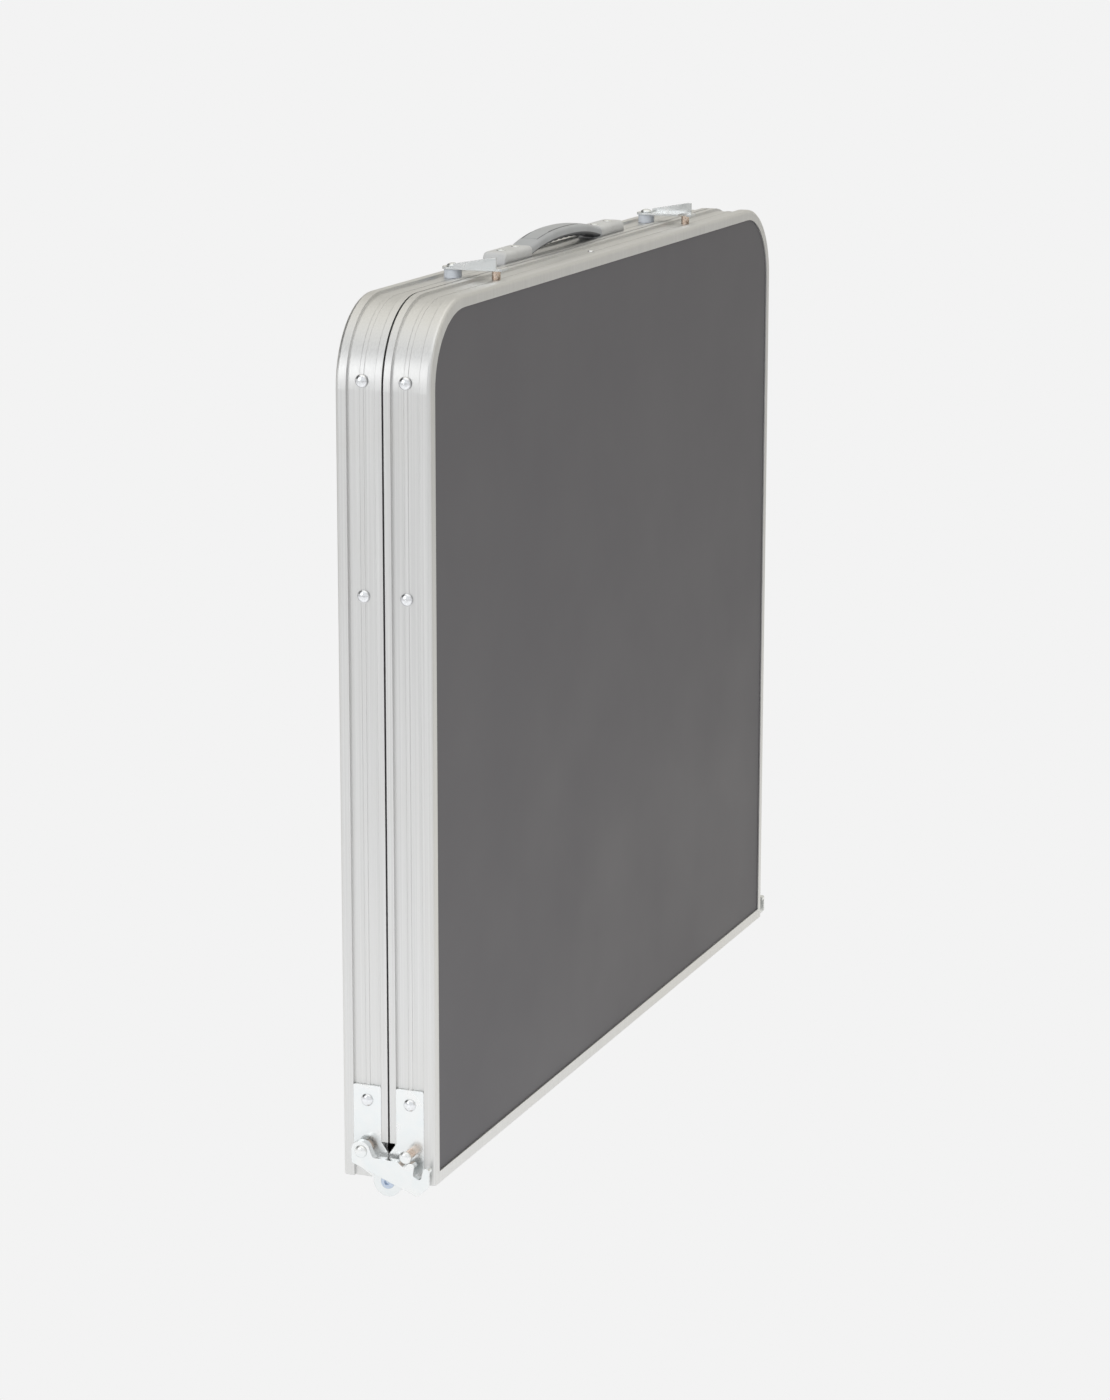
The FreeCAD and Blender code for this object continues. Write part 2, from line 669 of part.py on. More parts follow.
def extension(side, leg_x):
    """Inner tube that slides out of the leg."""
    end, start = size.leg_length + size.collar_reach + 1, size.leg_radius + 5
    radius = size.leg_radius - size.tube_wall - size.leg_play
    outer = upright(side + "_inner_outer", leg_x, end, start, radius)
    bore = upright(side + "_inner_bore", leg_x, end + 1, start - 1, radius - size.tube_wall)
    return both_ends(side + "_inners", cut(side + "_inner", outer, [bore]))


def foot(side, leg_x):
    start = size.leg_length + size.collar_reach + 1
    pad = upright(side + "_foot_pad", leg_x, start + size.foot_length, start, size.ferrule_radius)
    return both_ends(side + "_feet_pair", pad)


def crossbar(side, leg_x):
    """Bar that joins the two legs of a set."""
    z = leg_pivot_z - size.crossbar_drop
    bar = rod(side + "_bar", "X", (-leg_x, size.pivot_across, z), leg_x * 2, size.crossbar_radius)
    post = upright(side + "_bar_cope", leg_x, size.crossbar_drop + 20, size.crossbar_drop - 20,
                   size.leg_radius)
    return cut(side + "_bar_coped", bar, [both_ends(side + "_bar_copes", post)])


def leg_clip(side, leg_x):
    """Moulded cradle on the back of the panel that grips a stored leg."""
    inner = size.leg_radius + size.clip_play
    outer = inner + size.clip_wall
    z = leg_pivot_z - size.clip_drop
    low_z, high_z = z - size.clip_length / 2, z + size.clip_length / 2
    block = box(side + "_clip_block", (leg_x - outer, size.pivot_across - 3, low_z),
                (leg_x + outer, panel_back, high_z))
    room = box(side + "_clip_room", (leg_x - inner, size.pivot_across - 4, low_z - 1),
               (leg_x + inner, size.pivot_across + inner, high_z + 1))
    return both_ends(side + "_clips", cut(side + "_clip", block, [room]))


def link(name, start):
    """Stay link between the anchor and the elbow, with round ends."""
    half = size.stay_width / 2
    bar = box(name + "_bar", (start, size.pivot_across - half, elbow_z),
              (start + size.stay_thickness, size.pivot_across + half, anchor_z))
    ends = [rod("%s_end%d" % (name, count), "X", (start, size.pivot_across, z), size.stay_thickness, half)
            for count, z in enumerate((elbow_z, anchor_z))]
    return fuse(name + "_blank", [bar] + ends)


def rail_links(side):
    play = size.rivet_radius + size.run_play
    drills = ((anchor_z, play), (elbow_z, size.rivet_radius))
    start = rail_link_in - 1
    holes = [rod("%s_rail_link_hole%d" % (side, count), "X", (start, size.pivot_across, z), 4, radius)
             for count, (z, radius) in enumerate(drills)]
    arm = cut(side + "_rail_link", link(side + "_rail_link", rail_link_in), holes)
    return both_ends(side + "_rail_link_pair", arm)


def leg_links(side, leg_x):
    """Links that carry the leg pin, which stops just short of the leg."""
    hole = rod(side + "_leg_link_hole", "X", (leg_link_in - 1, size.pivot_across, elbow_z), 4,
               size.rivet_radius + size.run_play)
    arm = cut(side + "_leg_link", link(side + "_leg_link", leg_link_in), [hole])
    start = leg_x + size.leg_radius + size.leg_gap
    pin = rod(side + "_leg_link_pin", "X", (start, size.pivot_across, anchor_z),
              leg_link_in - start, size.stay_pin_radius)
    return both_ends(side + "_leg_link_pair", fuse(side + "_leg_link_whole", [arm, pin]))


def elbow_rivets(side):
    """Rivets fixed in the rail links, which the leg links turn on."""
    y = size.pivot_across
    inner = leg_link_in - size.sliding_gap - size.flat_head_rise
    washer_start = leg_link_out + size.sliding_gap
    pieces = [
        rod(side + "_elbow_shank", "X", (inner, y, elbow_z), rail_link_out - inner, size.rivet_radius),
        rod(side + "_elbow_inner", "X", (inner, y, elbow_z), size.flat_head_rise, size.flat_head),
        rod(side + "_elbow_washer", "X", (washer_start, y, elbow_z), rail_link_in - washer_start,
            size.flat_head),
        rod(side + "_elbow_outer", "X", (rail_link_out, y, elbow_z), size.flat_head_rise, size.flat_head),
    ]
    return both_ends(side + "_elbows", fuse(side + "_elbow", pieces))


def anchor_rivets(side):
    """Rivets of the rail that carry the rail links."""
    y, inner = size.pivot_across, rail_link_in - size.sliding_gap - size.flat_head_rise
    shank = rivet(side + "_anchor_rivet", "X", (inner, y, anchor_z), seat_out - inner, size.rivet_radius,
                  size.rivet_head, size.rivet_rise)
    head = rod(side + "_anchor_inner", "X", (inner, y, anchor_z), size.flat_head_rise, size.flat_head)
    washer_start = rail_link_out + size.sliding_gap
    washer = rod(side + "_anchor_washer", "X", (washer_start, y, anchor_z), web_in - washer_start,
                 size.flat_head)
    return both_ends(side + "_anchors", fuse(side + "_anchor", [shank, head, washer]))


# ------------------------------------------------------ handle and latches

def handle_block():
    """End block that screws the grip to the far rail, at +X."""
    half = size.handle_length / 2
    start = half - size.block_length
    points = [(start, seat_top), (half, seat_top), (half, seat_top + size.block_height),
              (start, seat_top + size.block_height)]
    y = recess_mid - size.handle_width / 2
    return prism("handle_block", "Y", points, y, size.handle_width, [(size.block_corner, (2, 3))])


def handle_grip():
    """Arched strap between the end blocks."""
    half = size.handle_length / 2 - size.block_length
    crown = seat_top + size.arch_height
    under = crown - size.grip_thickness
    shoulder = seat_top + size.block_height - 1
    points = [
        (-half, seat_top + 1.5), (-as_size(41), under), (41, under), (half, seat_top + 1.5),
        (half, shoulder), (44, crown), (-as_size(44), crown), (-half, shoulder),
    ]
    y = recess_mid - size.handle_width / 2
    rounds = [(30.0, (1, 2, 5, 6))]
    return prism("grip", "Y", points, y, size.handle_width, rounds)


def handle_screws():
    """Screw heads on the end blocks."""
    x = size.handle_length / 2 - 14
    head = rod("handle_screw", "Z", (x, recess_mid, seat_top + size.block_height), 1.2, 3.5)
    return both_ends("screws", head)


def latch():
    """Strip that turns over the front tray's pin, at the +X side."""
    half = size.latch_width / 2
    end = size.latch_across + half
    points = [(latch_x + half, -end), (latch_x + half, end), (latch_x - half, end), (latch_x - half, -end)]
    strip = prism("latch_strip", "Z", points, strip_low, size.latch_thickness,
                  [(6.0, (1, 2)), (2.0, (0, 3))])
    wide = size.catch_pin_radius + 0.5
    mouth = box("latch_mouth", (latch_x - half - 1, -size.latch_across - wide, strip_low - 1),
                (latch_x + wide, -size.latch_across + wide, strip_top + 1))
    hole = rod("latch_hole", "Z", (latch_x, size.latch_across, strip_low - 1), 5,
               size.catch_pin_radius + size.run_play)
    tip = -size.latch_across - size.latch_lead
    flange = [(tip, strip_low), (tip, strip_top + size.latch_flange),
              (tip + 3, strip_top + size.latch_flange), (end - 10, strip_top + 2.5), (end - 10, strip_low)]
    wing = prism("latch_wing", "X", flange, latch_x + half - size.latch_thickness, size.latch_thickness)
    return cut("latch", fuse("latch_blank", [strip, wing]), [mouth, hole])


def latch_spacers():
    """Bushes that hold the latches off the far rail."""
    bush = rod("latch_bush", "Z", (latch_x, size.latch_across, seat_top),
               size.latch_stand - size.sliding_gap, size.post_radius)
    bore = rod("latch_bush_bore", "Z", (latch_x, size.latch_across, seat_top - 1), 20,
               size.catch_pin_radius)
    return both_ends("latch_bushes", cut("latch_bush_bored", bush, [bore]))


def latch_rivets():
    reach = strip_top - seat_top + size.sliding_gap
    pin = rivet("latch_rivet", "Z", (latch_x, size.latch_across, seat_top), reach,
                size.catch_pin_radius, size.rivet_head, size.rivet_rise)
    return both_ends("latch_rivet_pair", pin)


def latch_pins():
    """Front tray's pins, which stop just under the latch strips."""
    pin = rod("latch_pin", "Z", (latch_x, size.latch_across, seat_top),
              size.latch_stand - size.layer_gap, size.catch_pin_radius)
    return both_ends("latch_pin_pair", pin)


# ------------------------------------------------------------------- assembly

def on_side(side, name, item):
    """The front tray's pieces are the rear tray's in the closing plane."""
    return subpart(name, mirror(name + "_front", item, "Y") if side == "front" else item)


shared = {
    "side_rail": side_rail(),
    "fold_rail": fold_rail(),
    "panel": panel(),
    "corner_brackets": corner_brackets(),
}

for side, inset in (("rear", size.rear_leg_inset), ("front", size.front_leg_inset)):
    leg_x = half_width - inset
    pieces = {
        "plate_rivets": plate_rivets(side),
        "leg_pivot_rivets": leg_pivot_rivets(side, leg_x),
        "stay_anchor_rivets": anchor_rivets(side),
        "leg_clips": leg_clip(side, leg_x),
        "leg_tubes": leg_tube(side, leg_x),
        "leg_caps": leg_cap(side, leg_x),
        "leg_ferrules": ferrule(side, leg_x),
        "leg_crossbar": crossbar(side, leg_x),
        "leg_extensions": extension(side, leg_x),
        "leg_feet": foot(side, leg_x),
        "stay_rail_links": rail_links(side),
        "stay_leg_links": leg_links(side, leg_x),
        "stay_elbow_rivets": elbow_rivets(side),
    }
    for name, item in {**shared, **pieces}.items():
        on_side(side, "%s_%s" % (side, name), item)

on_side("rear", "rear_hinge_plates", both_ends("rear_plates", rear_hinge_plate()))
on_side("front", "front_hinge_plates", both_ends("front_plates", front_hinge_plate()))
subpart("hinge_rivets", hinge_rivets())
subpart("lever_pivot_rivets", lever_pivot_rivets())
on_side("front", "lock_pins", lock_pins())
lever = subpart("lock_lever_right", lock_lever())
subpart("lock_lever_left", mirror("lever_left", lever, "X"))

latch_right = subpart("latch_right", latch())
subpart("latch_left", mirror("latch_other", latch_right, "X"))
subpart("latch_spacers", latch_spacers())
subpart("latch_pivot_rivets", latch_rivets())
on_side("front", "latch_pins", latch_pins())

block = subpart("handle_block_right", handle_block())
subpart("handle_block_left", mirror("block_other", block, "X"))
subpart("handle_grip", handle_grip())
subpart("handle_screws", handle_screws())
subpart("front_centre_rivet", dome("centre_rivet", "Z", (-11, -recess_mid, seat_top), 2.4, 1.0))

doc.recompute()

for item in doc.Objects:
    if "Invalid" in item.State or "Error" in item.State:
        raise RuntimeError("%s did not recompute: %s" % (item.Name, item.State))
for item in SUBPARTS:
    if item.Shape.isNull() or not item.Shape.isValid() or item.Shape.Volume <= 0:
        raise RuntimeError("%s has no valid solid" % item.Label)

os.makedirs("parts", exist_ok=True)
for item in SUBPARTS:
    item.Shape.exportStep("parts/%s.step" % item.Label)
print("%d sub-parts written" % len(SUBPARTS))
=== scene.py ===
"""Looks of the folding table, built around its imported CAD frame.

Metres, in the frame of the part: +Z up, +X along the fold line, the front
tray on the -Y side.  Places come from the CAD nodes' boxes.
"""
import json
import math

import bmesh
import bpy
from mathutils import Matrix, Vector


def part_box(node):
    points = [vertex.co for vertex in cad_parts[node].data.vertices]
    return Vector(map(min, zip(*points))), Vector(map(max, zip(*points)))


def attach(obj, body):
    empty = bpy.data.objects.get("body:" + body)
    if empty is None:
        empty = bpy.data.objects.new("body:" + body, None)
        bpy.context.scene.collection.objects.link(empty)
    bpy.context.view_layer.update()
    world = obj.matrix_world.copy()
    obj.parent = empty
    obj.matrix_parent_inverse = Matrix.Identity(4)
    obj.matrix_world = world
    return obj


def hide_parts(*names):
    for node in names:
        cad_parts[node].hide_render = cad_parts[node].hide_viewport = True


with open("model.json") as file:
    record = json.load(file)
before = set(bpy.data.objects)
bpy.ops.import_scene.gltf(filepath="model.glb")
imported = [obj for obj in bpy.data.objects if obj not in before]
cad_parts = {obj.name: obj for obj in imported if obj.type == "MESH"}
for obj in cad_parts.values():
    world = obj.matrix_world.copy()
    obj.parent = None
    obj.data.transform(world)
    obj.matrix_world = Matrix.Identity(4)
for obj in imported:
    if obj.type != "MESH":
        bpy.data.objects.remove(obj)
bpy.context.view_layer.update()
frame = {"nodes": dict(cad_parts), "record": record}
MM = 0.001


# ---------------------------------------------------------------- node helpers

def mapped(tree, source, start, end, low, high):
    """Maps a value so that start gives low and end gives high, clamped outside them."""
    made = tree.nodes.new("ShaderNodeMapRange")
    limits = {"From Min": start, "From Max": end, "To Min": low, "To Max": high}
    for name, value in limits.items():
        made.inputs[name].default_value = value
    tree.links.new(source, made.inputs["Value"])
    return made.outputs["Result"]


def worked(tree, operation, first, second):
    """One operation on two inputs, each of them a number or a node's output."""
    made = tree.nodes.new("ShaderNodeMath")
    made.operation = operation
    for socket, value in zip(made.inputs, (first, second)):
        if isinstance(value, float):
            socket.default_value = value
        else:
            tree.links.new(value, socket)
    return made.outputs["Value"]


class Shader:
    """Shorthand for building one Principled material."""

    def __init__(self, name, color, roughness, metallic=0.0):
        self.material = bpy.data.materials.new(name)
        self.material.use_nodes = True
        self.tree = self.material.node_tree
        self.surface = self.tree.nodes["Principled BSDF"]
        self.surface.inputs["Base Color"].default_value = (*color, 1.0)
        self.surface.inputs["Roughness"].default_value = roughness
        self.surface.inputs["Metallic"].default_value = metallic

    def node(self, kind, **values):
        made = self.tree.nodes.new(kind)
        for key, value in values.items():
            setattr(made, key, value)
        return made

    def link(self, output, socket):
        self.tree.links.new(output, socket)

    def noise(self, scale, detail=3.0, stretch=(1, 1, 1), distortion=0.0):
        """Noise over object space, with its own stretch; gives the factor."""
        place = self.node("ShaderNodeTexCoord")
        mapping = self.node("ShaderNodeMapping")
        mapping.inputs["Scale"].default_value = stretch
        texture = self.node("ShaderNodeTexNoise")
        texture.inputs["Scale"].default_value = scale
        texture.inputs["Detail"].default_value = detail
        texture.inputs["Distortion"].default_value = distortion
        self.link(place.outputs["Object"], mapping.inputs["Vector"])
        self.link(mapping.outputs["Vector"], texture.inputs["Vector"])
        return texture.outputs["Fac"]

    def ramp(self, factor, low, high, start=0.3, end=0.7):
        """Maps a factor to a range between two values."""
        return mapped(self.tree, factor, start, end, low, high)

    def mix_colors(self, factor, first, second):
        made = self.node("ShaderNodeMix", data_type="RGBA")
        self.link(factor, made.inputs["Factor"])
        for socket, value in ((made.inputs["A"], first), (made.inputs["B"], second)):
            if isinstance(value, tuple):
                socket.default_value = (*value, 1.0)
            else:
                self.link(value, socket)
        return made.outputs["Result"]

    def paint(self, output):
        self.link(output, self.surface.inputs["Base Color"])

    def gloss(self, output):
        self.link(output, self.surface.inputs["Roughness"])

    def bump(self, height, strength, distance, edge=0.0):
        """Surface relief, over rounded edges where edge is given."""
        made = self.node("ShaderNodeBump")
        made.inputs["Strength"].default_value = strength
        made.inputs["Distance"].default_value = distance
        self.link(height, made.inputs["Height"])
        if edge:
            bevel = self.node("ShaderNodeBevel", samples=4)
            bevel.inputs["Radius"].default_value = edge
            self.link(bevel.outputs["Normal"], made.inputs["Normal"])
        self.link(made.outputs["Normal"], self.surface.inputs["Normal"])


def shade(color, factor):
    return tuple(min(1.0, channel * factor) for channel in color)


def along_rail(shader, scale):
    """Streaks that run up the sides and along the far edge of a bent rail."""
    up = shader.noise(scale, 4.0, (1.0, 1.0, 0.004))
    across = shader.noise(scale, 4.0, (0.004, 1.0, 1.0))
    place = shader.node("ShaderNodeNewGeometry")
    split = shader.node("ShaderNodeSeparateXYZ")
    shader.link(place.outputs["Normal"], split.inputs["Vector"])
    size = shader.node("ShaderNodeMath", operation="ABSOLUTE")
    shader.link(split.outputs["Z"], size.inputs[0])
    weight = shader.ramp(size.outputs["Value"], 0.0, 1.0, 0.5, 0.85)
    made = shader.node("ShaderNodeMix", data_type="FLOAT")
    shader.link(weight, made.inputs["Factor"])
    shader.link(up, made.inputs["A"])
    shader.link(across, made.inputs["B"])
    return made.outputs["Result"]


# ------------------------------------------------------------------- materials

def anodised_aluminium():
    """Satin anodised extrusion with drawn streaks and faint handling marks."""
    color = (0.685, 0.685, 0.68)
    shader = Shader("anodised_rail", color, 0.38, 0.9)
    streaks = along_rail(shader, 900.0)
    marks = shader.noise(14.0, 5.0, (1, 1, 1), 0.4)
    tint = shader.mix_colors(shader.ramp(streaks, 0, 1), shade(color, 0.93), shade(color, 1.06))
    shader.paint(shader.mix_colors(shader.ramp(marks, 0, 0.3, 0.45, 0.75), tint, (0.66, 0.65, 0.625)))
    shader.gloss(shader.ramp(streaks, 0.31, 0.45))
    shader.bump(streaks, 0.12, 0.0002, 0.0005)
    return shader.material


def leg_aluminium():
    """Drawn tube, a little brighter than the rails."""
    color = (0.78, 0.78, 0.79)
    shader = Shader("leg_aluminium", color, 0.3, 0.95)
    rings = shader.noise(700.0, 4.0, (1.0, 1.0, 0.01))
    shader.paint(shader.mix_colors(shader.ramp(rings, 0, 1), shade(color, 0.9), shade(color, 1.05)))
    shader.gloss(shader.ramp(rings, 0.24, 0.38))
    shader.bump(rings, 0.1, 0.0002)
    return shader.material


def laminate_panel():
    """Dark grey laminate with a fine even grain."""
    color = (0.088, 0.0855, 0.0945)
    shader = Shader("grey_panel", color, 0.55)
    grain = shader.noise(2600.0, 2.0)
    cloud = shader.noise(9.0, 3.0)
    tint = shader.mix_colors(shader.ramp(cloud, 0, 1), shade(color, 0.97), shade(color, 1.03))
    shader.paint(shader.mix_colors(shader.ramp(grain, 0, 0.3), tint, shade(color, 1.12)))
    shader.gloss(shader.ramp(cloud, 0.5, 0.6))
    shader.bump(grain, 0.08, 0.0001)
    return shader.material


def zinc_steel(name, brightness):
    """Zinc plate: cool, mottled, with soft patches; the factor scales its colour, and the latches'
    darker copy is painted shade.
    """
    color = shade((0.92, 0.94, 0.95), brightness)
    shader = Shader(name, color, 0.24, 0.8)
    patches = shader.noise(70.0, 3.0, (1, 1, 1), 0.8)
    fine = shader.noise(500.0, 2.0)
    tint = shader.mix_colors(shader.ramp(patches, 0, 1), shade((0.885, 0.92, 0.93), brightness),
                             shade((0.95, 0.955, 0.95), brightness))
    shader.paint(tint)
    shader.gloss(shader.ramp(patches, 0.17, 0.3))
    shader.bump(fine, 0.03, 0.0001, 0.0004)
    return shader.material


def rivet_aluminium(name="aluminium_rivet", color=(0.80, 0.81, 0.83)):
    """Polished rivet metal in the colour given, lightly scuffed."""
    shader = Shader(name, color, 0.2, 1.0)
    scuffs = shader.noise(900.0, 3.0)
    shader.paint(shader.mix_colors(shader.ramp(scuffs, 0, 1), shade(color, 0.88), shade(color, 1.05)))
    shader.gloss(shader.ramp(scuffs, 0.15, 0.27))
    shader.bump(scuffs, 0.05, 0.0001)
    return shader.material


def copper_pin():
    """Copper-washed steel, paler where it is worn."""
    color = (0.80, 0.58, 0.45)
    shader = Shader("copper_pin", color, 0.28, 1.0)
    wear = shader.noise(700.0, 4.0)
    shader.paint(shader.mix_colors(shader.ramp(wear, 0, 1), shade(color, 0.8), (0.86, 0.74, 0.64)))
    shader.gloss(shader.ramp(wear, 0.2, 0.36))
    shader.bump(wear, 0.05, 0.0001)
    return shader.material


def moulded(name, color, roughness):
    """Moulded plastic or rubber with a fine spark-eroded grain."""
    shader = Shader(name, color, roughness)
    grain = shader.noise(2200.0, 2.0)
    cloud = shader.noise(60.0, 3.0)
    shader.paint(shader.mix_colors(shader.ramp(cloud, 0, 1), shade(color, 0.92), shade(color, 1.08)))
    shader.gloss(shader.ramp(cloud, roughness - 0.05, roughness + 0.07))
    shader.bump(grain, 0.15, 0.0001, 0.0006)
    return shader.material


MATERIALS = {
    "anodised_rail": anodised_aluminium(),
    "leg_aluminium": leg_aluminium(),
    "grey_panel": laminate_panel(),
    "zinc_steel": zinc_steel("zinc_steel", 0.87),
    "aluminium_rivet": rivet_aluminium(),
    "copper_pin": copper_pin(),
    "black_plastic": moulded("black_plastic", (0.035, 0.035, 0.038), 0.45),
    "black_rubber": moulded("black_rubber", (0.025, 0.025, 0.025), 0.7),
    "handle_grey": moulded("handle_grey", (0.62, 0.625, 0.63), 0.4),
    "blued_rivet": rivet_aluminium("blued_rivet", (0.52, 0.59, 0.70)),
    "strap_grey": moulded("strap_grey", (0.44, 0.455, 0.475), 0.42),
    # painted shade: a dark copy of the strap for its outline groove and its underside
    "strap_painted_shade": moulded("strap_painted_shade", (0.13, 0.135, 0.145), 0.5),
    # painted shade: the latches take a darker copy of the zinc, for flanges that face the dimmer side
    "zinc_latch_shaded": zinc_steel("zinc_latch_shaded", 0.78),
    "spacer_grey": moulded("spacer_grey", (0.72, 0.76, 0.82), 0.4),
}

# Nodes whose look differs from their slot's; the latches' darker zinc is painted shade.
LOOKS = {"latch_right": "zinc_latch_shaded", "latch_left": "zinc_latch_shaded", "hinge_rivets": "blued_rivet"}


def dress_frame():
    """Gives every CAD node its own look, or the material of its slot."""
    for entry in frame["record"]["subparts"]:
        node = frame["nodes"][entry["node"]]
        node.data.materials.clear()
        look = LOOKS.get(entry["node"], entry["material_slot"])
        node.data.materials.append(MATERIALS[look])


def plate_heads():
    """Lever pivots and lock pins have zinc-plated heads beyond the levers' faces."""
    lever_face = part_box("lock_lever_right")[1].x
    for name in ("lever_pivot_rivets", "lock_pins"):
        mesh = frame["nodes"][name].data
        mesh.materials.append(MATERIALS["zinc_steel"])
        for face in mesh.polygons:
            if abs(face.center.x) > lever_face:
                face.material_index = 1


# ------------------------------------------------------------------ mesh tools

def new_piece(name, form, slot, body, look=None):
    """Turns a bmesh into a smooth piece that rides on a body."""
    bmesh.ops.recalc_face_normals(form, faces=form.faces)
    mesh = bpy.data.meshes.new(name)
    form.to_mesh(mesh)
    form.free()
    for face in mesh.polygons:
        face.use_smooth = True
    mesh.materials.append(MATERIALS[look or slot])
    piece = bpy.data.objects.new(name, mesh)
    bpy.context.collection.objects.link(piece)
    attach(piece, body)
    return piece


def loft(name, rings, slot, body, look=None):
    """Closed solid through rings of points, each ring with the same count."""
    form = bmesh.new()
    made = [[form.verts.new(point) for point in ring] for ring in rings]
    for first, second in zip(made, made[1:]):
        for index in range(len(first)):
            after = (index + 1) % len(first)
            form.faces.new((first[index], first[after], second[after], second[index]))
    form.faces.new(made[0])
    form.faces.new(made[-1])
    return new_piece(name, form, slot, body, look)


def superellipse(count, power):
    """Points of a unit superellipse, anticlockwise from +u."""
    points = []
    for index in range(count):
        angle = 2 * math.pi * index / count
        c, s = math.cos(angle), math.sin(angle)
        points.append((math.copysign(abs(c) ** (2 / power), c), math.copysign(abs(s) ** (2 / power), s)))
    return points


def smooth_step(value):
    value = min(1.0, max(0.0, value))
    return value * value * (3 - 2 * value)


# --------------------------------------------------------------------- handle

GRIP_LOW, GRIP_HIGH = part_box("handle_grip")
BLOCK_LOW, BLOCK_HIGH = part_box("handle_block_right")
HANDLE_Y = (GRIP_LOW.y + GRIP_HIGH.y) / 2
HANDLE_SEAT = BLOCK_LOW.z
HANDLE_HALF_WIDTH = (BLOCK_HIGH.y - BLOCK_LOW.y) / 2

# The strap's own measures.  Ends are shares of its half length, sides of its half width.
STRAP_SQUARENESS = 3.4
STRAP_ARCH_POWER = 2.3
STRAP_OVERLAP = 4 * MM
STRAP_END_TOP = 7.8 * MM
STRAP_THICKNESS = 8.6 * MM
STRAP_END_LOSS = 0.8 * MM
WAVE_DEPTH, WAVE_LENGTH, WAVES_END = 0.9 * MM, 11 * MM, 0.72
FIELD_SINK, FIELD_RISE = 0.3 * MM, 0.2 * MM
FIELD_END, FIELD_INNER_END = 0.72, 0.70
FIELD_SIDE, FIELD_INNER_SIDE = 0.74, 0.64
FIELD_END_SLOPE, FIELD_SIDE_SLOPE = 0.012, 0.05
LINE_ENDS = (0.70, 0.715)
LINE_SIDES = (0.58, 0.68)


def handle_grip():
    """Arched strap: crowned, with an outlined field on top and finger waves below."""
    steps, count = 240, 120
    half_span = GRIP_HIGH.x + STRAP_OVERLAP
    crown = GRIP_HIGH.z - HANDLE_SEAT
    section = superellipse(count, STRAP_SQUARENESS)
    rings = []
    for step in range(steps + 1):
        along = -1 + 2 * step / steps
        x = along * half_span
        rise = 1 - abs(along) ** STRAP_ARCH_POWER
        top = STRAP_END_TOP + (crown - STRAP_END_TOP) * rise
        thick = STRAP_THICKNESS - STRAP_END_LOSS * (1 - rise)
        half_width = HANDLE_HALF_WIDTH * (0.90 + 0.06 * rise)
        centre = HANDLE_SEAT + top - thick / 2
        swing = math.sin(2 * math.pi * x / WAVE_LENGTH)
        waves = WAVE_DEPTH * swing * smooth_step((WAVES_END - abs(along)) / 0.1)
        sink = FIELD_SINK * smooth_step((FIELD_END - abs(along)) / FIELD_END_SLOPE)
        field = FIELD_RISE * smooth_step((FIELD_INNER_END - abs(along)) / FIELD_END_SLOPE)
        ring = []
        for u, v in section:
            z = v * thick / 2
            if v > 0:
                z -= sink * smooth_step((FIELD_SIDE - abs(u)) / FIELD_SIDE_SLOPE)
                z += field * smooth_step((FIELD_INNER_SIDE - abs(u)) / FIELD_SIDE_SLOPE)
            else:
                z += waves * smooth_step((0.8 - abs(u)) / 0.2)
            ring.append((x, HANDLE_Y + u * half_width, centre + z))
        rings.append(ring)
    piece = loft("grip_strap", rings, "handle_grey", "rear_tray", "strap_grey")
    paint_strap_shade(piece, half_span)
    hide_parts("handle_grip")


def paint_strap_shade(piece, half_span):
    """Painted shade: the field's outline is darkened for the shade in its engraved groove, and the
    strap's underside for the shade beneath the strap.
    """
    piece.data.materials.append(MATERIALS["strap_painted_shade"])
    for face in piece.data.polygons:
        along = abs(face.center.x) / half_span
        across = abs(face.center.y - HANDLE_Y) / HANDLE_HALF_WIDTH
        beside = along < LINE_ENDS[1] and LINE_SIDES[0] < across < LINE_SIDES[1]
        ahead = LINE_ENDS[0] < along < LINE_ENDS[1] and across < LINE_SIDES[1]
        outlined = face.normal.z > 0.3 and (beside or ahead)
        # painted shade: outline faces and downward faces take the dark material
        if outlined or face.normal.z < -0.25:
            face.material_index = 1


BLOCK_ROUND = 3.2 * MM
BLOCK_END_ROUND = 4.2 * MM
BLOCK_INNER_LEAD = 1.2 * MM


def block_ring(x, half_width, height, count=44):
    """Section of an end block: flat foot, rounded shoulders, flat top."""
    radius = min(BLOCK_ROUND, height * 0.6)
    ring = [(x, HANDLE_Y - half_width, HANDLE_SEAT), (x, HANDLE_Y + half_width, HANDLE_SEAT)]
    for side in (1, -1):
        for index in range(count // 2):
            share = index / (count // 2 - 1)
            angle = math.pi / 2 * (share if side > 0 else 1 - share)
            y = side * (half_width - radius + radius * math.cos(angle))
            ring.append((x, HANDLE_Y + y, HANDLE_SEAT + height - radius + radius * math.sin(angle)))
    return ring


def handle_block(side):
    """End block whose outer end rounds down and whose inner end is a step."""
    inner, outer = BLOCK_LOW.x, BLOCK_HIGH.x
    height = BLOCK_HIGH.z - HANDLE_SEAT
    rings = []
    for step in range(61):
        x = inner + (outer - inner) * step / 60
        past = max(0.0, (x - (outer - BLOCK_END_ROUND)) / BLOCK_END_ROUND)
        fall = math.sqrt(max(0.0, 1 - past * past))
        lead = smooth_step((x - inner) / BLOCK_INNER_LEAD)
        waist = 1 - 0.05 * smooth_step((x - inner) / (outer - inner))
        half_width = HANDLE_HALF_WIDTH * waist * (0.86 + 0.14 * fall) * (0.97 + 0.03 * lead)
        tall = height * (0.42 + 0.58 * fall) * (0.94 + 0.06 * lead)
        rings.append(block_ring(side * x, half_width, tall))
    name = "right" if side > 0 else "left"
    piece = loft("end_block_" + name, rings, "handle_grey", "rear_tray")
    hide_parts("handle_block_" + name)


